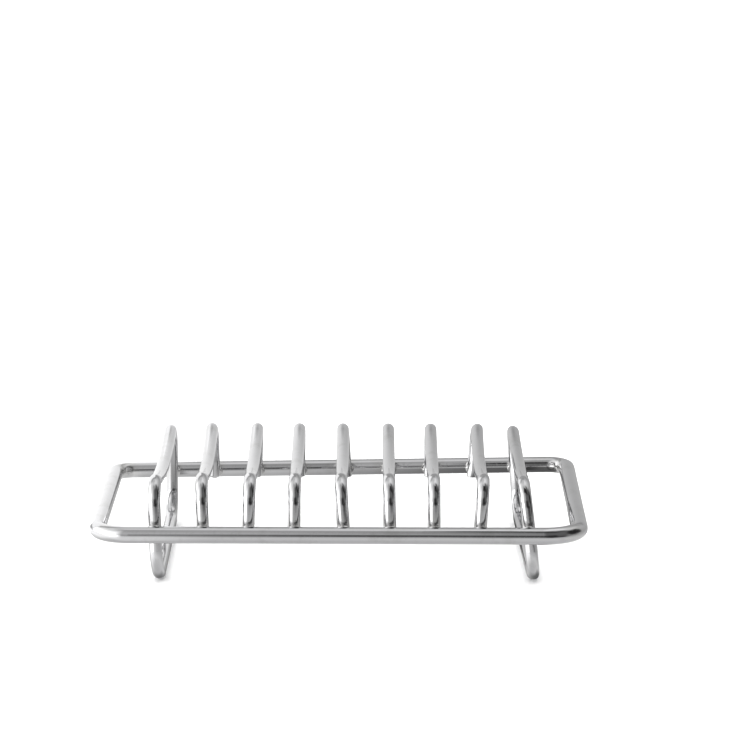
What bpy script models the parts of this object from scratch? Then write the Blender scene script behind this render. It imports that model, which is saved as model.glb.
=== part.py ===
# Soap drying rack, welded from round stainless wire: a closed frame of thick wire,
# seven cross bars and two end loops of thinner wire. The end loops carry on down
# past the frame as the rack's feet.
# +X runs along the long side, +Y to the back, +Z up. The rack stands on z = 0.
import bmesh
import bpy
from math import atan, cos, pi, radians, sin
from mathutils import Matrix, Vector

mm = 0.001

# The two wires, and the gap that keeps welded wires apart as solids
frame_wire = 4.0 * mm
bar_wire = 3.0 * mm
weld_gap = 0.3 * mm

# The frame, measured over the wire. Its corners, each bent by hand to a radius of its own, are
# measured to the wire's middle.
frame_length = 117.2 * mm
frame_depth = 80.0 * mm
rear_right_corner = 5.0 * mm
rear_left_corner = 4.6 * mm
front_left_corner = 7.8 * mm
front_right_corner = 8.8 * mm
frame_height = 12.8 * mm      # from the table to the middle of the frame's wire
rear_rail_slant = 0.95 * mm   # the rear rail's right end sits this much high, its left end low

# The row of bars, from the frame's inner ends to the middle of each end loop
left_margin = 11.9 * mm
right_margin = 10.4 * mm
cross_count = 7

# How high the bars crest above the middle of the frame, and how they dip for the soap
loop_rise = 11.0 * mm
cross_rise = 11.5 * mm
saddle_dip = 2.4 * mm
crest_bend = 5.0 * mm
foot_bend = 7.0 * mm
cross_tail = 1.5 * mm         # the cross bars end this far below the middle of the frame

# What the hand bending left: how far each piece leans to the left, as a share of its height, how far
# each loop is turned, as a share of its depth, how far the left loop's front foot is bent to the right,
# as a share of its depth below the frame, and how far each bar is off its place, as a share of the pitch
right_front_lean_share = 0.112
right_rear_lean_share = 0.075
left_turn_share = -0.0108
right_turn_share = 0.0132
left_foot_share = 0.07
cross_lean_shares = (0.027, -0.034, -0.014, 0.058, 0.018, 0.0, -0.070)
cross_shift_shares = (0.007, -0.018, -0.028, 0.044, 0.040, -0.009, -0.017)

# How finely the round shapes are cut
frame_sides = 16
bar_sides = 12
corner_steps = 8
crest_steps = 10
saddle_steps = 12
foot_steps = 8
heading_step = 0.001 * mm     # how far ahead a wire looks for its heading

# Places that follow from the sizes above
half_length = (frame_length - frame_wire) / 2
half_depth = (frame_depth - frame_wire) / 2
leg_place = half_depth - frame_wire / 2 - weld_gap - bar_wire / 2
row_start = left_margin + frame_wire / 2 - half_length
row_end = half_length - frame_wire / 2 - right_margin
bar_pitch = (row_end - row_start) / (cross_count + 1)
runner_place = bar_wire / 2 - frame_height


def clear_scene():
    for old in list(bpy.data.objects):
        bpy.data.objects.remove(old, do_unlink=True)


def steel(name, colour, roughness):
    material = bpy.data.materials.new(name)
    material.use_nodes = True
    shader = material.node_tree.nodes["Principled BSDF"]
    shader.inputs["Base Color"].default_value = (*colour, 1)
    shader.inputs["Metallic"].default_value = 1
    shader.inputs["Roughness"].default_value = roughness
    return material


def arc(centre, radius, start, end, steps):
    """Stations along an arc in a flat plane: each is a point and the way the wire heads there."""
    turn = 1 if end > start else -1
    stations = []
    for step in range(steps + 1):
        angle = radians(start + (end - start) * step / steps)
        point = (centre[0] + radius * cos(angle), centre[1] + radius * sin(angle))
        stations.append((point, (-turn * sin(angle), turn * cos(angle))))
    return stations


def saddle(rise):
    """The top of a bar from the side: up the front leg, over a crest, through the dip, and back down."""
    reach = leg_place - crest_bend
    slope = 2 * atan(saddle_dip / reach)
    tilt = slope * 180 / pi
    crest_centre = rise - crest_bend
    dip_radius = (reach - crest_bend * sin(slope)) / sin(slope)
    dip_centre = rise - saddle_dip + dip_radius
    front = arc((-reach, crest_centre), crest_bend, 180, 90 - tilt, crest_steps)
    dip = arc((0, dip_centre), dip_radius, 270 - tilt, 270 + tilt, saddle_steps)
    rear = arc((reach, crest_centre), crest_bend, 90 + tilt, 0, crest_steps)
    return front + dip[1:-1] + rear


def cross_bar_stations():
    up, down = (0, 1), (0, -1)
    return [((-leg_place, -cross_tail), up), *saddle(cross_rise), ((leg_place, -cross_tail), down)]


def end_loop_stations():
    bend_place = leg_place - foot_bend
    bend_height = runner_place + foot_bend
    rear_foot = arc((bend_place, bend_height), foot_bend, 0, -90, foot_steps)
    front_foot = arc((-bend_place, bend_height), foot_bend, 270, 180, foot_steps)
    return saddle(loop_rise) + rear_foot + front_foot


def side_shift(depth, height, bend):
    """How far a place on a bar or a loop is off to the right, from its leans, its turn and its foot."""
    front_lean, rear_lean, turn, foot = bend
    rearward = (depth / leg_place + 1) / 2
    lean = front_lean + (rear_lean - front_lean) * rearward
    below = max(0, -height)
    return foot * below * (1 - rearward) - lean * height - turn * depth


def stand_up(stations, bend):
    """Turns side view stations into upright ones that lean and turn sideways as the bend says."""
    upright = []
    for (depth, height), (depth_way, height_way) in stations:
        aside = side_shift(depth, height, bend)
        ahead = side_shift(depth + depth_way * heading_step, height + height_way * heading_step, bend)
        heading = Vector(((ahead - aside) / heading_step, depth_way, height_way))
        upright.append((Vector((aside, depth, height)), heading.normalized()))
    return upright


def frame_stations():
    """The frame from above, with its rear rail slanting a little."""
    corners = [(1, 1, 0, rear_right_corner), (-1, 1, 90, rear_left_corner),
               (-1, -1, 180, front_left_corner), (1, -1, 270, front_right_corner)]
    slant = rear_rail_slant / (half_length * 2 * half_depth)
    stations = []
    for right, back, start, radius in corners:
        centre = (right * (half_length - radius), back * (half_depth - radius))
        for (px, py), (wx, wy) in arc(centre, radius, start, start + 90, corner_steps):
            point = Vector((px, py, slant * px * (py + half_depth)))
            heading = Vector((wx, wy, slant * (wx * (py + half_depth) + px * wy)))
            stations.append((point, heading.normalized()))
    return stations


def section_frame(point, heading, side):
    """A matrix that sets a flat section square across the wire, with one axis kept to the side given."""
    across = (side - side.dot(heading) * heading).normalized()
    other = heading.cross(across)
    turned = Matrix((across, other, heading)).transposed().to_4x4()
    return Matrix.Translation(point) @ turned


def sweep(name, stations, side, wire, sides, closed):
    """Extrudes a round section along the stations. Its flats lie exactly one wire apart."""
    shape = bmesh.new()
    frames = [section_frame(point, heading, side) for point, heading in stations]
    half_step = Matrix.Rotation(pi / sides, 4, "Z")
    bmesh.ops.create_circle(shape, segments=sides, radius=wire / 2 / cos(pi / sides),
                            matrix=frames[0] @ half_step)
    first = list(shape.edges)
    ring = first
    for before, after in zip(frames, frames[1:]):
        made = bmesh.ops.extrude_edge_only(shape, edges=ring)["geom"]
        points = {item for item in made if isinstance(item, bmesh.types.BMVert)}
        ring = [item for item in made if isinstance(item, bmesh.types.BMEdge)
                and item.verts[0] in points and item.verts[1] in points]
        bmesh.ops.transform(shape, matrix=after @ before.inverted(), verts=list(points))
    if closed:
        bmesh.ops.bridge_loops(shape, edges=first + ring)
    else:
        bmesh.ops.edgeloop_fill(shape, edges=first)
        bmesh.ops.edgeloop_fill(shape, edges=ring)
    bmesh.ops.recalc_face_normals(shape, faces=shape.faces)
    mesh = bpy.data.meshes.new(name)
    shape.to_mesh(mesh)
    shape.free()
    return mesh


def place(name, mesh, material, x, rack):
    piece = bpy.data.objects.new(name, mesh)
    mesh.materials.append(material)
    piece.location = (x, 0, frame_height)
    piece.parent = rack
    bpy.context.scene.collection.objects.link(piece)
    return piece


def build():
    clear_scene()
    rack = bpy.data.objects.new("soap_rack", None)
    bpy.context.scene.collection.objects.link(rack)
    upward = Vector((0, 0, 1))
    sideways = Vector((1, 0, 0))

    frame_steel = steel("frame_steel", (0.76, 0.76, 0.77), 0.10)
    frame = sweep("frame_ring", frame_stations(), upward, frame_wire, frame_sides, True)
    place("frame_ring", frame, frame_steel, 0, rack)

    loop_steel = steel("loop_steel", (0.78, 0.78, 0.79), 0.08)
    left_bend = (0, 0, left_turn_share, left_foot_share)
    right_bend = (right_front_lean_share, right_rear_lean_share, right_turn_share, 0)
    for name, x, bend in (("end_loop_left", row_start, left_bend), ("end_loop_right", row_end, right_bend)):
        stations = stand_up(end_loop_stations(), bend)
        loop = sweep(name, stations, sideways, bar_wire, bar_sides, True)
        place(name, loop, loop_steel, x, rack)

    cross_steel = steel("cross_steel", (0.79, 0.79, 0.80), 0.08)
    for number in range(1, cross_count + 1):
        name = f"cross_bar_{number}"
        lean_share = cross_lean_shares[(number - 1) % len(cross_lean_shares)]
        shift_share = cross_shift_shares[(number - 1) % len(cross_shift_shares)]
        stations = stand_up(cross_bar_stations(), (lean_share, lean_share, 0, 0))
        bar = sweep(name, stations, sideways, bar_wire, bar_sides, False)
        place(name, bar, cross_steel, row_start + (number + shift_share) * bar_pitch, rack)


build()
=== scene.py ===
from math import atan, copysign, pi, radians, sin

import bpy
from mathutils import Matrix, Vector, noise


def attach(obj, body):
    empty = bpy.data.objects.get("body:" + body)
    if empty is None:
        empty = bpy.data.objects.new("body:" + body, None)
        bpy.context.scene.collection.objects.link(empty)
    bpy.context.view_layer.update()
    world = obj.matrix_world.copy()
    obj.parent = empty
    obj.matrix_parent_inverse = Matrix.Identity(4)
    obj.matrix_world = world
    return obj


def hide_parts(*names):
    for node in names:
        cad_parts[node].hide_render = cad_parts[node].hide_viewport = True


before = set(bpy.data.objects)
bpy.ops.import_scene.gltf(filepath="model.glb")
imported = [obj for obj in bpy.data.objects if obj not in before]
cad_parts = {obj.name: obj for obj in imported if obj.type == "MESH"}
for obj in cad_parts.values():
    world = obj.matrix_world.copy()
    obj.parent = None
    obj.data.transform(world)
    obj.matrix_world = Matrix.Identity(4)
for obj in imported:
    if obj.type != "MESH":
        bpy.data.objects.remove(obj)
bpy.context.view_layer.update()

# A soap drying rack welded from polished stainless wire. Lengths are in metres.
# X runs along the long side, the front rail is at -Y, and the rack stands on z = 0.

rack = {
    "height": 0.0128,             # table to the middle of the frame's wire
    "halfLength": 0.0566,         # to the middle of the side rails
    "halfDepth": 0.0380,          # to the middle of the front and rear rails
    "legPlace": 0.0342,           # to the middle of a bar's leg
    "railRadius": 0.0020,
    "barRadius": 0.0015,
    "rowStart": -0.0427,          # to the middle of the left end loop
    "rowPitch": 0.0108625,
    "barCount": 7,
}

# What the hand bending left, so that no two bars stand quite alike: each bar's shift to the right, as
# a share of the pitch, and its lean to the left, as a share of its height
handBend = {
    "barShifts": (0.007, -0.018, -0.028, 0.044, 0.040, -0.009, -0.017),
    "barLeans": (0.027, -0.034, -0.014, 0.058, 0.018, 0.0, -0.070),
}
# The end loops' bends, as shares: the front leg's lean, the rear leg's lean, the turn, and how far the
# front foot is bent to the right below the frame
loopBend = {
    "left": (0, 0, -0.0108, 0.07),
    "right": (0.112, 0.075, 0.0132, 0),
}


# Wire bending: push the wire straight on, or bend it round a pin

wireWork = {
    "joinReach": 1e-6,            # ring points nearer than this are one
    "cutAngle": radians(60),      # edges sharper than this at a cut end are rounded
    "cutSegments": 4,
    "smoothAngle": radians(40),
}


def startWire(name, place, heading, axis, radius, sides):
    turn = Vector((0, 0, 1)).rotation_difference(Vector(heading)).to_euler()
    bpy.ops.object.select_all(action="DESELECT")
    bpy.ops.mesh.primitive_circle_add(vertices=sides, radius=radius, location=place, rotation=turn)
    piece = bpy.context.object
    piece.name = name
    piece.data.name = name
    bpy.ops.object.transform_apply(location=True, rotation=True, scale=True)
    around = piece.data.attributes.new("wireAround", "FLOAT_VECTOR", "POINT")
    for spot in range(sides):
        angle = 2 * pi * spot / sides
        around.data[spot].vector = Matrix.Rotation(angle, 3, "Z") @ Vector((radius, 0, 0))
    bpy.ops.object.mode_set(mode="EDIT")
    bpy.ops.mesh.select_all(action="SELECT")
    return {"piece": piece, "tip": Vector(place), "heading": Vector(heading), "axis": Vector(axis),
            "sides": sides, "runs": [0.0]}


def pushWire(wire, length, rings=1):
    step = wire["heading"] * length / rings
    for ring in range(rings):
        bpy.ops.mesh.extrude_region_move(TRANSFORM_OT_translate={"value": step})
        wire["tip"] = wire["tip"] + step
        wire["runs"].append(wire["runs"][-1] + length / rings)


def bendWire(wire, radius, angle, steps):
    side = wire["axis"].cross(wire["heading"]) * copysign(radius, angle)
    pin = wire["tip"] + side
    bpy.ops.mesh.spin(steps=steps, angle=-angle, center=pin, axis=wire["axis"])
    turn = Matrix.Rotation(angle, 3, wire["axis"])
    wire["tip"] = pin - turn @ side
    wire["heading"] = turn @ wire["heading"]
    for ring in range(steps):
        wire["runs"].append(wire["runs"][-1] + radius * abs(angle) / steps)


def pinchWire(scale):
    # The ring where two wire ends were butt welded and ground down
    bpy.ops.transform.resize(value=(scale, scale, scale))


def cutFree(wire):
    # Ends the bending, and stores how far along the wire each ring lies, for the lines in the steel
    bpy.ops.object.mode_set(mode="OBJECT")
    mesh = wire["piece"].data
    around = mesh.attributes["wireAround"]
    for spot in mesh.vertices:
        side = around.data[spot.index].vector
        around.data[spot.index].vector = (side.x, side.y, wire["runs"][spot.index // wire["sides"]])
    bpy.ops.object.mode_set(mode="EDIT")
    bpy.ops.mesh.select_all(action="SELECT")


def joinEnds():
    bpy.ops.mesh.remove_doubles(threshold=wireWork["joinReach"])
    bpy.ops.mesh.normals_make_consistent(inside=False)


def capEnds(rounding):
    bpy.ops.mesh.select_all(action="DESELECT")
    bpy.ops.mesh.select_non_manifold(extend=False, use_wire=False, use_multi_face=False,
                                     use_non_contiguous=False, use_verts=False)
    bpy.ops.mesh.fill_holes(sides=0)
    bpy.ops.mesh.select_all(action="DESELECT")
    bpy.ops.mesh.edges_select_sharp(sharpness=wireWork["cutAngle"])
    bpy.ops.mesh.bevel(offset=rounding, segments=wireWork["cutSegments"], affect="EDGES")
    bpy.ops.mesh.select_all(action="SELECT")
    bpy.ops.mesh.normals_make_consistent(inside=False)


def dressPiece(piece, material, slot, *nodes):
    bpy.ops.object.mode_set(mode="OBJECT")
    bpy.ops.object.select_all(action="DESELECT")
    piece.select_set(True)
    bpy.context.view_layer.objects.active = piece
    bpy.ops.object.shade_smooth_by_angle(angle=wireWork["smoothAngle"])
    piece.data.materials.clear()
    piece.data.materials.append(material)
    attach(piece, "root")
    if nodes:
        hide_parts(*nodes)


def copyPiece(piece, name, step):
    other = piece.copy()
    other.data = piece.data.copy()
    other.name = name
    other.data.name = name
    bpy.context.scene.collection.objects.link(other)
    other.data.transform(Matrix.Translation(step))
    return other


def sideStep(place, bend):
    # How far a place on a piece is off to the right
    frontLean, rearLean, turn, foot = bend
    rearward = (place.y / rack["legPlace"] + 1) / 2
    lean = frontLean + (rearLean - frontLean) * rearward
    above = place.z - rack["height"]
    return foot * max(0, -above) * (1 - rearward) - lean * above - turn * place.y


def pushAskew(piece, bend):
    for spot in piece.data.vertices:
        spot.co.x += sideStep(spot.co, bend)


# Polished stainless steel, with the lines of wire drawing, polishing scratches and water marks

def addNode(tree, kind, x, y, **settings):
    made = tree.nodes.new(kind)
    made.location = (x, y)
    for name, value in settings.items():
        setattr(made, name, value)
    return made


def mathNode(tree, operation, x, y, first, second=None, third=None):
    made = addNode(tree, "ShaderNodeMath", x, y, operation=operation)
    for socket, value in zip(made.inputs, (first, second, third)):
        if value is None:
            continue
        if isinstance(value, (int, float)):
            socket.default_value = value
        else:
            tree.links.new(value, socket)
    return made.outputs[0]


def rangeNode(tree, x, y, value, fromLow, fromHigh, toLow, toHigh):
    made = addNode(tree, "ShaderNodeMapRange", x, y, interpolation_type="SMOOTHSTEP")
    tree.links.new(value, made.inputs["Value"])
    made.inputs["From Min"].default_value = fromLow
    made.inputs["From Max"].default_value = fromHigh
    made.inputs["To Min"].default_value = toLow
    made.inputs["To Max"].default_value = toHigh
    return made.outputs["Result"]


def noiseNode(tree, x, y, vector, scale, stretch, detail, roughness=0.5):
    mapping = addNode(tree, "ShaderNodeMapping", x - 200, y)
    mapping.inputs["Scale"].default_value = stretch
    tree.links.new(vector, mapping.inputs["Vector"])
    made = addNode(tree, "ShaderNodeTexNoise", x, y)
    made.inputs["Scale"].default_value = scale
    made.inputs["Detail"].default_value = detail
    made.inputs["Roughness"].default_value = roughness
    tree.links.new(mapping.outputs["Vector"], made.inputs["Vector"])
    return made.outputs["Fac"]


def makeSteel(name, look):
    material = bpy.data.materials.new(name)
    material.use_nodes = True
    tree = material.node_tree
    shader = tree.nodes["Principled BSDF"]
    shader.inputs["Metallic"].default_value = 1.0
    run = addNode(tree, "ShaderNodeAttribute", -1600, 200, attribute_name="wireAround").outputs["Vector"]
    spot = addNode(tree, "ShaderNodeTexCoord", -1600, -300).outputs["Object"]

    # Lines along the wire from the drawing die, broken up along its length
    lines = noiseNode(tree, -1100, 500, run, **look["lines"])
    waves = noiseNode(tree, -1100, 250, run, **look["waves"])
    # Scratches of the polishing, each a thin closed line of a stretched noise
    scratchField = noiseNode(tree, -1100, 0, spot, **look["scratches"])
    scratchAway = mathNode(tree, "SUBTRACT", -850, 0, scratchField, 0.5)
    scratchAway = mathNode(tree, "ABSOLUTE", -700, 0, scratchAway)
    scratch = rangeNode(tree, -550, 0, scratchAway, 0.0, look["scratchWidth"], 1.0, 0.0)
    # Thin dried water film and handling marks
    smudge = noiseNode(tree, -1100, -250, spot, **look["smudges"])
    smudgeMask = rangeNode(tree, -700, -250, smudge, *look["smudgeEdge"], 0.0, 1.0)

    # The dull ring round each weld
    axes = addNode(tree, "ShaderNodeSeparateXYZ", -1300, -600)
    tree.links.new(spot, axes.inputs[0])
    depth = mathNode(tree, "ABSOLUTE", -1150, -600, axes.outputs[1])
    depthAway = mathNode(tree, "SUBTRACT", -1000, -600, depth, rack["legPlace"] + rack["barRadius"])
    depthSquare = mathNode(tree, "MULTIPLY", -850, -600, depthAway, depthAway)
    heightAway = mathNode(tree, "SUBTRACT", -1000, -750, axes.outputs[2], rack["height"])
    heightSquare = mathNode(tree, "MULTIPLY", -850, -750, heightAway, heightAway)
    weldAway = mathNode(tree, "ADD", -700, -650, depthSquare, heightSquare)
    if look["weldsAlong"]:
        first, pitch = look["weldsAlong"]
        shifted = mathNode(tree, "SUBTRACT", -1150, -900, axes.outputs[0], first)
        alongAway = mathNode(tree, "PINGPONG", -1000, -900, shifted, pitch / 2)
        alongSquare = mathNode(tree, "MULTIPLY", -850, -900, alongAway, alongAway)
        weldAway = mathNode(tree, "ADD", -550, -750, weldAway, alongSquare)
    weldAway = mathNode(tree, "SQRT", -400, -650, weldAway)
    weldMask = rangeNode(tree, -250, -650, weldAway, *look["weldReach"], 1.0, 0.0)

    # Roughness
    smoothest = look["roughness"] - look["lineRoughness"] / 2
    rough = mathNode(tree, "MULTIPLY_ADD", -400, 400, lines, look["lineRoughness"], smoothest)
    rough = mathNode(tree, "MULTIPLY_ADD", -250, 300, smudgeMask, look["smudgeRoughness"], rough)
    rough = mathNode(tree, "MULTIPLY_ADD", -100, 200, scratch, look["scratchRoughness"], rough)
    rough = mathNode(tree, "MULTIPLY_ADD", 50, 100, weldMask, look["weldRoughness"], rough)
    tree.links.new(rough, shader.inputs["Roughness"])

    # Colour: bare steel, a little darker under the water film, a little darker and warmer round the welds
    film = addNode(tree, "ShaderNodeMix", -100, 700, data_type="RGBA")
    film.inputs["A"].default_value = (*look["colour"], 1)
    film.inputs["B"].default_value = (*look["filmColour"], 1)
    tree.links.new(smudgeMask, film.inputs["Factor"])
    weldColourMix = addNode(tree, "ShaderNodeMix", 150, 700, data_type="RGBA")
    weldColourMix.inputs["B"].default_value = (*look["weldColour"], 1)
    tree.links.new(film.outputs["Result"], weldColourMix.inputs["A"])
    weldColourShare = mathNode(tree, "MULTIPLY", 0, 600, weldMask, look["weldColourShare"])
    tree.links.new(weldColourShare, weldColourMix.inputs["Factor"])
    tree.links.new(weldColourMix.outputs["Result"], shader.inputs["Base Color"])

    # Bump: the hand bent wire's waves, then the drawing lines, then the scratches
    waveBump = addNode(tree, "ShaderNodeBump", 50, -200)
    waveBump.inputs["Distance"].default_value = look["waveDepth"]
    tree.links.new(waves, waveBump.inputs["Height"])
    lineBump = addNode(tree, "ShaderNodeBump", 250, -200)
    lineBump.inputs["Distance"].default_value = look["lineDepth"]
    tree.links.new(lines, lineBump.inputs["Height"])
    tree.links.new(waveBump.outputs["Normal"], lineBump.inputs["Normal"])
    scratchBump = addNode(tree, "ShaderNodeBump", 450, -200, invert=True)
    scratchBump.inputs["Distance"].default_value = look["scratchDepth"]
    tree.links.new(scratch, scratchBump.inputs["Height"])
    tree.links.new(lineBump.outputs["Normal"], scratchBump.inputs["Normal"])
    tree.links.new(scratchBump.outputs["Normal"], shader.inputs["Normal"])
    return material


steelLook = {
    "colour": (0.66, 0.66, 0.67),
    "filmColour": (0.60, 0.60, 0.60),
    "weldColour": (0.62, 0.615, 0.605),
    "weldColourShare": 0.7,             # how much of the darker weld colour the weld itself takes
    "roughness": 0.055,
    "lineRoughness": 0.03,
    "smudgeRoughness": 0.05,
    "scratchRoughness": 0.10,
    "weldRoughness": 0.12,
    "lines": {"scale": 5200.0, "stretch": (1.0, 1.0, 0.012), "detail": 2.0},
    "waves": {"scale": 260.0, "stretch": (1.0, 1.0, 0.45), "detail": 1.0},
    "scratches": {"scale": 900.0, "stretch": (1.0, 0.25, 0.6), "detail": 0.0},
    "smudges": {"scale": 130.0, "stretch": (1.0, 1.0, 1.0), "detail": 4.0, "roughness": 0.6},
    "lineDepth": 0.0000015,
    "waveDepth": 0.00002,
    "scratchDepth": 0.000003,
    "scratchWidth": 0.006,        # as a share of the noise's range
    "smudgeEdge": (0.48, 0.68),   # the noise levels where the water film starts and is full
    "weldReach": (0.0012, 0.0040),    # the dull ring is full up to the first and gone at the second
    "weldsAlong": None,           # on the frame, the first weld's place and the pitch
}
frameSteel = makeSteel("frameSteel", {**steelLook, "weldsAlong": (rack["rowStart"], rack["rowPitch"])})
loopSteel = makeSteel("loopSteel", steelLook)
crossSteel = makeSteel("crossSteel", steelLook)
print("steel mixed")


# The frame: a closed rounded rectangle, butt welded in the middle of its rear rail

frameRing = {
    "sides": 48,
    "rearLeftCorner": 0.0046,
    "frontLeftCorner": 0.0078,
    "frontRightCorner": 0.0088,
    "rearRightCorner": 0.0050,
    "cornerSteps": 18,
    "rearSlant": 0.00095,         # how much higher the rear rail's right end is than its middle
    "seamWidth": 0.0004,
    "seamScale": 0.985,
}


def makeFrame():
    rearLeft = frameRing["rearLeftCorner"]
    frontLeft = frameRing["frontLeftCorner"]
    frontRight = frameRing["frontRightCorner"]
    rearRight = frameRing["rearRightCorner"]
    length = 2 * rack["halfLength"]
    depth = 2 * rack["halfDepth"]
    seam = frameRing["seamWidth"]
    wire = startWire("frame_wire", (0, rack["halfDepth"], rack["height"]), (-1, 0, 0), (0, 0, 1),
                     rack["railRadius"], frameRing["sides"])
    pinchWire(frameRing["seamScale"])
    pushWire(wire, seam)
    pinchWire(1 / frameRing["seamScale"])
    pushWire(wire, rack["halfLength"] - rearLeft - seam)
    bendWire(wire, rearLeft, pi / 2, frameRing["cornerSteps"])
    pushWire(wire, depth - rearLeft - frontLeft)
    bendWire(wire, frontLeft, pi / 2, frameRing["cornerSteps"])
    pushWire(wire, length - frontLeft - frontRight)
    bendWire(wire, frontRight, pi / 2, frameRing["cornerSteps"])
    pushWire(wire, depth - frontRight - rearRight)
    bendWire(wire, rearRight, pi / 2, frameRing["cornerSteps"])
    pushWire(wire, rack["halfLength"] - rearRight - seam)
    pushWire(wire, seam)
    pinchWire(frameRing["seamScale"])
    cutFree(wire)
    joinEnds()
    bpy.ops.object.mode_set(mode="OBJECT")
    piece = wire["piece"]
    slant = frameRing["rearSlant"] / (rack["halfLength"] * 2 * rack["halfDepth"])
    for spot in piece.data.vertices:
        spot.co.z += slant * spot.co.x * (spot.co.y + rack["halfDepth"])
    return piece


frameWire = makeFrame()
dressPiece(frameWire, frameSteel, "frame_steel", "frame_ring")
print("frame bent")


# The bars: up from the front rail, over a crest, through the dip, over a crest and down

saddle = {"crestRadius": 0.0050, "crestSteps": 18, "dip": 0.0024, "dipSteps": 20}


def bendSaddle(wire):
    crest = saddle["crestRadius"]
    reach = rack["legPlace"] - crest
    slope = 2 * atan(saddle["dip"] / reach)
    dipRadius = (reach - crest * sin(slope)) / sin(slope)
    bendWire(wire, crest, -pi / 2 - slope, saddle["crestSteps"])
    bendWire(wire, dipRadius, 2 * slope, saddle["dipSteps"])
    bendWire(wire, crest, -pi / 2 - slope, saddle["crestSteps"])


crossBar = {"sides": 40, "rise": 0.0115, "tail": 0.0015, "endRounding": 0.00025}


def barPlace(number):
    # Where a bar stands along the row, a little off its mark
    return rack["rowStart"] + (number + handBend["barShifts"][number - 1]) * rack["rowPitch"]


def barBend(number):
    lean = handBend["barLeans"][number - 1]
    return lean, lean, 0, 0


def makeCrossBar():
    straight = crossBar["rise"] - saddle["crestRadius"] + crossBar["tail"]
    foot = (barPlace(1), -rack["legPlace"], rack["height"] - crossBar["tail"])
    wire = startWire("cross_wire_1", foot, (0, 0, 1), (1, 0, 0), rack["barRadius"], crossBar["sides"])
    pushWire(wire, straight, 2)
    bendSaddle(wire)
    pushWire(wire, straight, 2)
    cutFree(wire)
    capEnds(crossBar["endRounding"])
    bpy.ops.object.mode_set(mode="OBJECT")
    return wire["piece"]


firstBar = makeCrossBar()
barPieces = [firstBar]
for number in range(2, rack["barCount"] + 1):
    step = (barPlace(number) - barPlace(1), 0, 0)
    barPieces.append(copyPiece(firstBar, f"cross_wire_{number}", step))
for number, piece in enumerate(barPieces, 1):
    pushAskew(piece, barBend(number))
    dressPiece(piece, crossSteel, "cross_steel", f"cross_bar_{number}")
print("cross bars bent")


# The end loops: a bar that carries on down past the frame and closes under the rack as a foot

endLoop = {"sides": 40, "rise": 0.0110, "footRadius": 0.0070, "footSteps": 18, "seamWidth": 0.0003,
           "seamScale": 0.98}


def makeEndLoop(name, place, bend):
    foot = endLoop["footRadius"]
    runner = rack["barRadius"]
    runLength = rack["legPlace"] - foot
    upright = rack["height"] + endLoop["rise"] - saddle["crestRadius"] - runner - foot
    seam = endLoop["seamWidth"]
    wire = startWire(name, (0, 0, runner), (0, -1, 0), (1, 0, 0), rack["barRadius"], endLoop["sides"])
    pinchWire(endLoop["seamScale"])
    pushWire(wire, seam)
    pinchWire(1 / endLoop["seamScale"])
    pushWire(wire, runLength - seam, 2)
    bendWire(wire, foot, -pi / 2, endLoop["footSteps"])
    pushWire(wire, upright)
    bendSaddle(wire)
    pushWire(wire, upright)
    bendWire(wire, foot, -pi / 2, endLoop["footSteps"])
    pushWire(wire, runLength - seam, 2)
    pushWire(wire, seam)
    pinchWire(endLoop["seamScale"])
    cutFree(wire)
    joinEnds()
    bpy.ops.object.mode_set(mode="OBJECT")
    pushAskew(wire["piece"], bend)
    wire["piece"].data.transform(Matrix.Translation((place, 0, 0)))
    return wire["piece"]


rowEnd = rack["rowStart"] + (rack["barCount"] + 1) * rack["rowPitch"]
leftLoop = makeEndLoop("end_wire_left", rack["rowStart"], loopBend["left"])
rightLoop = makeEndLoop("end_wire_right", rowEnd, loopBend["right"])
dressPiece(leftLoop, loopSteel, "loop_steel", "end_loop_left")
dressPiece(rightLoop, loopSteel, "loop_steel", "end_loop_right")
print("end loops bent")


# The welds: a nugget squeezed out round each crossing of a bar and a rail

weld = {
    "width": 0.0040,
    "depth": 0.0016,
    "height": 0.0038,
    "subdivisions": 4,
    "lump": 0.00012,
    "lumpScale": 2.2,
    "lumpStep": 3.7,              # how far the lumps' pattern moves on from one weld to the next
    "rearNumber": 20,             # the rear welds' patterns are counted from here
}


def makeWeld(number, place, faceBack):
    bpy.ops.object.select_all(action="DESELECT")
    bpy.ops.mesh.primitive_ico_sphere_add(subdivisions=weld["subdivisions"], radius=0.5, location=(0, 0, 0))
    piece = bpy.context.object
    for spot in piece.data.vertices:
        away = spot.co.normalized()
        size = Vector((away.x * weld["width"], away.y * weld["depth"], away.z * weld["height"])) / 2
        pattern = away * weld["lumpScale"] + Vector((number * weld["lumpStep"], 0, 0))
        spot.co = size + away * noise.noise(pattern) * weld["lump"]
    if faceBack:
        piece.data.transform(Matrix.Rotation(pi, 4, "Z"))
    piece.data.transform(Matrix.Translation(place))
    return piece


def rearRailHeight(x):
    return rack["height"] + frameRing["rearSlant"] * x / rack["halfLength"]


weldDepth = (rack["halfDepth"] - rack["railRadius"] + rack["legPlace"] + rack["barRadius"]) / 2
crossings = [("left", rack["rowStart"], loopBend["left"])]
for number in range(1, rack["barCount"] + 1):
    crossings.append((str(number), barPlace(number), barBend(number)))
crossings.append(("right", rowEnd, loopBend["right"]))
for number, (label, x, bend) in enumerate(crossings):
    frontPlace = Vector((x, -weldDepth, rack["height"]))
    frontPlace.x += sideStep(frontPlace, bend)
    front = makeWeld(number, frontPlace, False)
    front.name = f"weld_front_{label}"
    rearPlace = Vector((x, weldDepth, rearRailHeight(x)))
    rearPlace.x += sideStep(rearPlace, bend)
    rear = makeWeld(number + weld["rearNumber"], rearPlace, True)
    rear.name = f"weld_rear_{label}"
    slot = "loop_steel" if label in ("left", "right") else "cross_steel"
    for piece in (front, rear):
        piece.data.name = piece.name
        dressPiece(piece, crossSteel, slot)
print("welds set")


# Floor, light and camera

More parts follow.
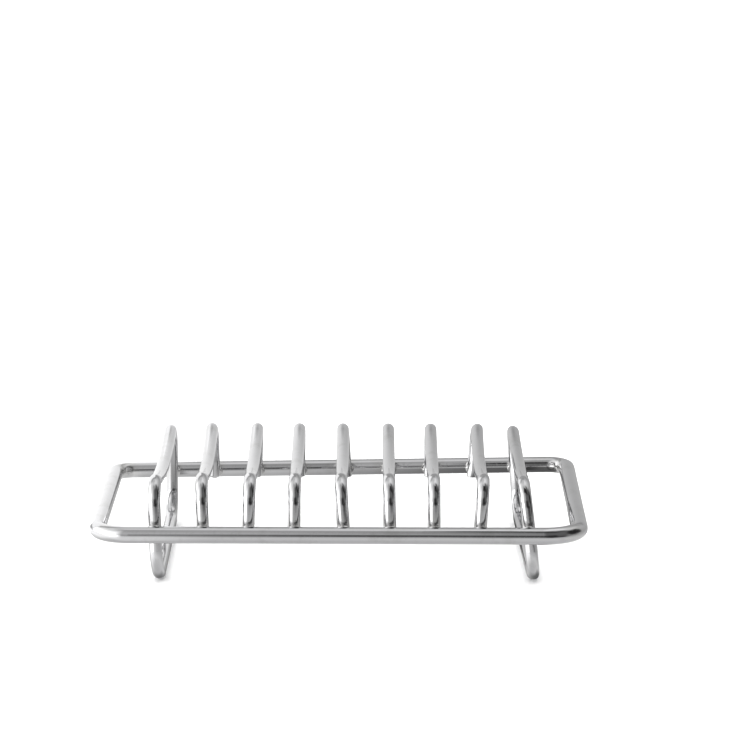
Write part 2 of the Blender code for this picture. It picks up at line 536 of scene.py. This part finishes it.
stageSet = {
    "floorSize": 60.0,
    "floorColour": (0.86, 0.86, 0.86),
    "floorRoughness": 0.9,
    "floorGloss": 0.1,
    "skyHeight": 2,
    "skyPower": 4.6,
    "skySpread": 150,             # degrees
    "viewTransform": "Standard",
}


def makeFloor():
    bpy.ops.object.select_all(action="DESELECT")
    bpy.ops.mesh.primitive_plane_add(size=stageSet["floorSize"], location=(0, 0, 0))
    floor = bpy.context.object
    floor.name = "floor"
    material = bpy.data.materials.new("floorPaper")
    material.use_nodes = True
    shader = material.node_tree.nodes["Principled BSDF"]
    shader.inputs["Base Color"].default_value = (*stageSet["floorColour"], 1)
    shader.inputs["Roughness"].default_value = stageSet["floorRoughness"]
    shader.inputs["Specular IOR Level"].default_value = stageSet["floorGloss"]
    floor.data.materials.append(material)
    floor.visible_glossy = False      # the polished wire mirrors the studio round it, not the paper


def makeSkyLight():
    # Soft light from above for the paper. The wire doesn't mirror it.
    data = bpy.data.lights.new("skyLight", "SUN")
    data.energy = stageSet["skyPower"]
    data.angle = radians(stageSet["skySpread"])
    lamp = bpy.data.objects.new("skyLight", data)
    lamp.location = (0, 0, stageSet["skyHeight"])
    lamp.visible_glossy = False
    bpy.context.scene.collection.objects.link(lamp)


rearSoftbox = {
    "left": -0.135,
    "right": 0.160,
    "depth": 0.125,
    "top": 0.092,
    "bottom": 0.003,
    "leftLevel": 1.42,
    "rightLevel": 0.50,
    "fade": (-0.140, 0.070),      # where the left level starts to fall and where the right one is reached
    "topLevel": 0.30,
    "topFade": (0.066, 0.090),
}


def makeRearSoftbox():
    # A low softbox close behind the rack, bright behind its left half and dim behind its right half
    wide = rearSoftbox["right"] - rearSoftbox["left"]
    tall = rearSoftbox["top"] - rearSoftbox["bottom"]
    place = ((rearSoftbox["left"] + rearSoftbox["right"]) / 2, rearSoftbox["depth"],
             (rearSoftbox["top"] + rearSoftbox["bottom"]) / 2)
    bpy.ops.object.select_all(action="DESELECT")
    bpy.ops.mesh.primitive_plane_add(size=1.0, location=place, rotation=(pi / 2, 0, 0))
    panel = bpy.context.object
    panel.name = "rearSoftbox"
    panel.scale = (wide, tall, 1.0)
    bpy.ops.object.transform_apply(location=True, rotation=True, scale=True)
    material = bpy.data.materials.new("softboxCloth")
    material.use_nodes = True
    tree = material.node_tree
    tree.nodes.remove(tree.nodes["Principled BSDF"])
    spot = addNode(tree, "ShaderNodeTexCoord", -800, 0).outputs["Object"]
    axes = addNode(tree, "ShaderNodeSeparateXYZ", -600, 0)
    tree.links.new(spot, axes.inputs[0])
    level = rangeNode(tree, -400, 100, axes.outputs[0], *rearSoftbox["fade"],
                      rearSoftbox["leftLevel"], rearSoftbox["rightLevel"])
    upper = rangeNode(tree, -400, -200, axes.outputs[2], *rearSoftbox["topFade"], 0.0, 1.0)
    gap = mathNode(tree, "SUBTRACT", -200, -100, rearSoftbox["topLevel"], level)
    level = mathNode(tree, "MULTIPLY_ADD", 0, 0, gap, upper, level)
    glow = addNode(tree, "ShaderNodeEmission", 200, 0)
    tree.links.new(level, glow.inputs["Strength"])
    tree.links.new(glow.outputs[0], tree.nodes["Material Output"].inputs["Surface"])
    panel.data.materials.append(material)
    panel.visible_camera = False
    panel.visible_diffuse = False
    panel.visible_shadow = False


# Cards that only the polished wire mirrors. Each has a middle, a turn and a size. It fades out over
# shares of its size at its left, right, near and far edge. Its level is its own brightness, and its
# cover is how much it hides of what lies behind it.
cards = {
    # The white table beside the left end, and in front of it
    "leftTable": {"middle": (-0.174, 0.0975, 0.0003), "turn": (0, 0, 0), "size": (0.252, 0.205),
                  "fade": (0.10, 0.045, 0.06, 0.20), "level": 1.40, "cover": 1.0},
    "cornerTable": {"middle": (-0.182, -0.0265, 0.0002), "turn": (0, 0, 0), "size": (0.240, 0.075),
                    "fade": (0.15, 0.10, 0.20, 0.12), "level": 1.40, "cover": 1.0},
    "frontTable": {"middle": (-0.115, -0.090, 0.0001), "turn": (0, 0, 0), "size": (0.170, 0.100),
                   "fade": (0.15, 0.12, 0.30, 0.04), "level": 1.22, "cover": 0.4},
    # The shade under the right half of the rear rail
    "rearShade": {"middle": (0.025, 0.021, 0.0004), "turn": (0, 0, 0), "size": (0.110, 0.052),
                  "fade": (0.68, 0.12, 0.25, 0.10), "level": 0.08, "cover": 0.90},
    # A small dark flag above the right end, which draws the dark line along the rear rail
    "frontFlag": {"middle": (0.054, -0.060, 0.094), "turn": (pi / 2, 0, 0), "size": (0.076, 0.085),
                  "fade": (0.30, 0.20, 0.15, 0.15), "level": 0.02, "cover": 0.95},
    # A small dark flag beside the front right corner, which draws the dark end of the front rail
    "cornerFlag": {"middle": (0.075, -0.035, 0.0250), "turn": (pi / 2, 0, pi / 2), "size": (0.020, 0.025),
                   "fade": (0.20, 0.20, 0.12, 0.30), "level": 0.02, "cover": 0.95},
    # A tall softbox behind the left end
    "leftTall": {"middle": (-0.150, 0.124, 0.115), "turn": (pi / 2, 0, 0), "size": (0.220, 0.150),
                 "fade": (0.10, 0.06, 0.10, 0.20), "level": 1.30, "cover": 1.0},
    # The shade under the two feet
    "leftContact": {"middle": (-0.0416, 0, 0.0005), "turn": (0, 0, loopBend["left"][2]),
                    "size": (0.0080, 0.067), "fade": (0.50, 0.50, 0.04, 0.04),
                    "level": 0.05, "cover": 0.75},
    "rightContact": {"middle": (0.0470, 0, 0.0005), "turn": (0, 0, loopBend["right"][2]),
                     "size": (0.0096, 0.068), "fade": (0.42, 0.48, 0.04, 0.04),
                     "level": 0.03, "cover": 0.80},
}


def makeCard(name, card):
    bpy.ops.object.select_all(action="DESELECT")
    bpy.ops.mesh.primitive_plane_add(size=1.0, location=card["middle"], rotation=card["turn"])
    sheet = bpy.context.object
    sheet.name = name
    sheet.scale = (*card["size"], 1.0)
    bpy.ops.object.transform_apply(location=True, rotation=True, scale=True)
    material = bpy.data.materials.new(name)
    material.use_nodes = True
    tree = material.node_tree
    tree.nodes.remove(tree.nodes["Principled BSDF"])
    spot = addNode(tree, "ShaderNodeTexCoord", -1200, 0).outputs["UV"]
    axes = addNode(tree, "ShaderNodeSeparateXYZ", -1000, 0)
    tree.links.new(spot, axes.inputs[0])
    left, right, near, far = card["fade"]
    edges = ((0, 0.0, left), (0, 1.0, 1 - right), (1, 0.0, near), (1, 1.0, 1 - far))
    cover = card["cover"]
    for row, (axis, edge, full) in enumerate(edges):
        shade = rangeNode(tree, -800, 300 - 200 * row, axes.outputs[axis], edge, full, 0.0, 1.0)
        cover = mathNode(tree, "MULTIPLY", -600 + 150 * row, 300 - 200 * row, shade, cover)
    glow = addNode(tree, "ShaderNodeEmission", 0, -100)
    glow.inputs["Strength"].default_value = card["level"]
    clear = addNode(tree, "ShaderNodeBsdfTransparent", 0, -250)
    blend = addNode(tree, "ShaderNodeMixShader", 200, 0)
    tree.links.new(cover, blend.inputs["Fac"])
    tree.links.new(clear.outputs[0], blend.inputs[1])
    tree.links.new(glow.outputs[0], blend.inputs[2])
    tree.links.new(blend.outputs[0], tree.nodes["Material Output"].inputs["Surface"])
    sheet.data.materials.append(material)
    sheet.visible_camera = False
    sheet.visible_diffuse = False
    sheet.visible_shadow = False


# The studio that the wire mirrors. Compass angles are 0 towards the camera and 90 to its right, and
# heights are above the horizon. A patch is full up to the first angle of its spread and its rise and
# gone at the second. It adds light, or keeps a share of what is there.
studio = {
    "heights": ((-90, 0.60), (-30, 0.76), (-14, 0.57), (-5, 0.44), (8, 0.50), (30, 0.60), (52, 0.50),
                (75, 0.45), (90, 0.47)),
    "leftSoftbox": {"compass": -78, "spread": (30, 58), "height": 9, "rise": (5, 72), "add": 1.20},
    "leftCore": {"compass": -95, "spread": (22, 42), "height": 14, "rise": (8, 22), "add": 0.90},
    "tableGlow": {"compass": -62, "spread": (16, 42), "height": -8, "rise": (8, 16), "add": 1.30},
    "topSoftbox": {"compass": -165, "spread": (75, 110), "height": 70, "rise": (8, 18), "add": 0.28},
    "rightSoftbox": {"compass": 130, "spread": (28, 44), "height": 60, "rise": (14, 28), "add": 0.30},
    "darkSide": {"compass": 51, "spread": (36, 58), "height": 29, "rise": (30, 44), "keep": 0.25},
    "sideGap": {"compass": 92, "spread": (14, 30), "height": 22, "rise": (8, 20), "keep": 0.30},
    "lowGap": {"compass": 16, "spread": (16, 26), "height": 8, "rise": (9, 17), "keep": 0.28},
    "lowShade": {"compass": 44, "spread": (20, 36), "height": -5, "rise": (4, 7), "keep": 0.35},
    "sideGlow": {"compass": 76, "spread": (8, 20), "height": 0, "rise": (6, 13), "add": 0.16},
    "backShade": {"compass": 172, "spread": (14, 40), "height": 34, "rise": (12, 26), "keep": 0.74},
}


def studioPatch(tree, x, y, compass, height, patch):
    # 1 in the middle of the patch, falling smoothly to 0 round it
    aside = mathNode(tree, "SUBTRACT", x, y, compass, radians(patch["compass"]))
    aside = mathNode(tree, "ABSOLUTE", x + 150, y, aside)
    aside = mathNode(tree, "PINGPONG", x + 300, y, aside, pi)
    near, far = (radians(angle) for angle in patch["spread"])
    inCompass = rangeNode(tree, x + 450, y, aside, near, far, 1.0, 0.0)
    upward = mathNode(tree, "SUBTRACT", x, y - 150, height, radians(patch["height"]))
    upward = mathNode(tree, "ABSOLUTE", x + 150, y - 150, upward)
    near, far = (radians(angle) for angle in patch["rise"])
    inHeight = rangeNode(tree, x + 450, y - 150, upward, near, far, 1.0, 0.0)
    return mathNode(tree, "MULTIPLY", x + 650, y, inCompass, inHeight)


def makeStudio():
    world = bpy.data.worlds.new("studio")
    bpy.context.scene.world = world
    world.use_nodes = True
    tree = world.node_tree
    look = addNode(tree, "ShaderNodeTexCoord", -2000, 0).outputs["Generated"]
    axes = addNode(tree, "ShaderNodeSeparateXYZ", -1800, 0)
    tree.links.new(look, axes.inputs[0])
    toCamera = mathNode(tree, "MULTIPLY", -1650, 100, axes.outputs[1], -1.0)
    compass = mathNode(tree, "ARCTAN2", -1500, 100, axes.outputs[0], toCamera)
    height = mathNode(tree, "ARCSINE", -1500, -200, axes.outputs[2])

    ramp = addNode(tree, "ShaderNodeValToRGB", -1000, 500)
    share = mathNode(tree, "MULTIPLY_ADD", -1200, 500, height, 1 / pi, 0.5)
    tree.links.new(share, ramp.inputs["Fac"])
    stops = ramp.color_ramp.elements
    for number, (angle, level) in enumerate(studio["heights"]):
        place = angle / 180 + 0.5
        stop = stops[number] if number < 1 else stops.new(place)
        stop.position = place
        stop.color = (level, level, level, 1)
    stops.remove(stops[-1])
    light = addNode(tree, "ShaderNodeRGBToBW", -700, 500)
    tree.links.new(ramp.outputs["Color"], light.inputs["Color"])
    level = light.outputs["Val"]
    patches = [patch for name, patch in studio.items() if name != "heights"]
    for row, patch in enumerate(patches):
        mask = studioPatch(tree, -1300, 200 - 400 * row, compass, height, patch)
        if "add" in patch:
            level = mathNode(tree, "MULTIPLY_ADD", -400 + 200 * row, 300, mask, patch["add"], level)
        else:
            kept = mathNode(tree, "MULTIPLY_ADD", -500 + 200 * row, 100, mask, patch["keep"] - 1, 1.0)
            level = mathNode(tree, "MULTIPLY", -400 + 200 * row, 300, level, kept)
    tree.links.new(level, tree.nodes["Background"].inputs["Color"])


cameraView = {
    "place": (0.00796, -0.93964, 0.22218),
    "turn": (79.3878, -0.160, 0.1464),    # degrees
    "lens": 195.75,               # millimetres, as is the sensor's width
    "sensorWidth": 36.0,
    "nearest": 0.01,
    "farthest": 100.0,
}


def makeCamera():
    data = bpy.data.cameras.new("camera")
    data.lens = cameraView["lens"]
    data.sensor_width = cameraView["sensorWidth"]
    data.clip_start = cameraView["nearest"]
    data.clip_end = cameraView["farthest"]
    camera = bpy.data.objects.new("camera", data)
    camera.location = cameraView["place"]
    camera.rotation_euler = [radians(angle) for angle in cameraView["turn"]]
    bpy.context.scene.collection.objects.link(camera)
    bpy.context.scene.camera = camera


makeFloor()
makeSkyLight()
makeRearSoftbox()
for name, card in cards.items():
    makeCard(name, card)
makeStudio()
makeCamera()
bpy.context.scene.view_settings.view_transform = stageSet["viewTransform"]
print("stage set")
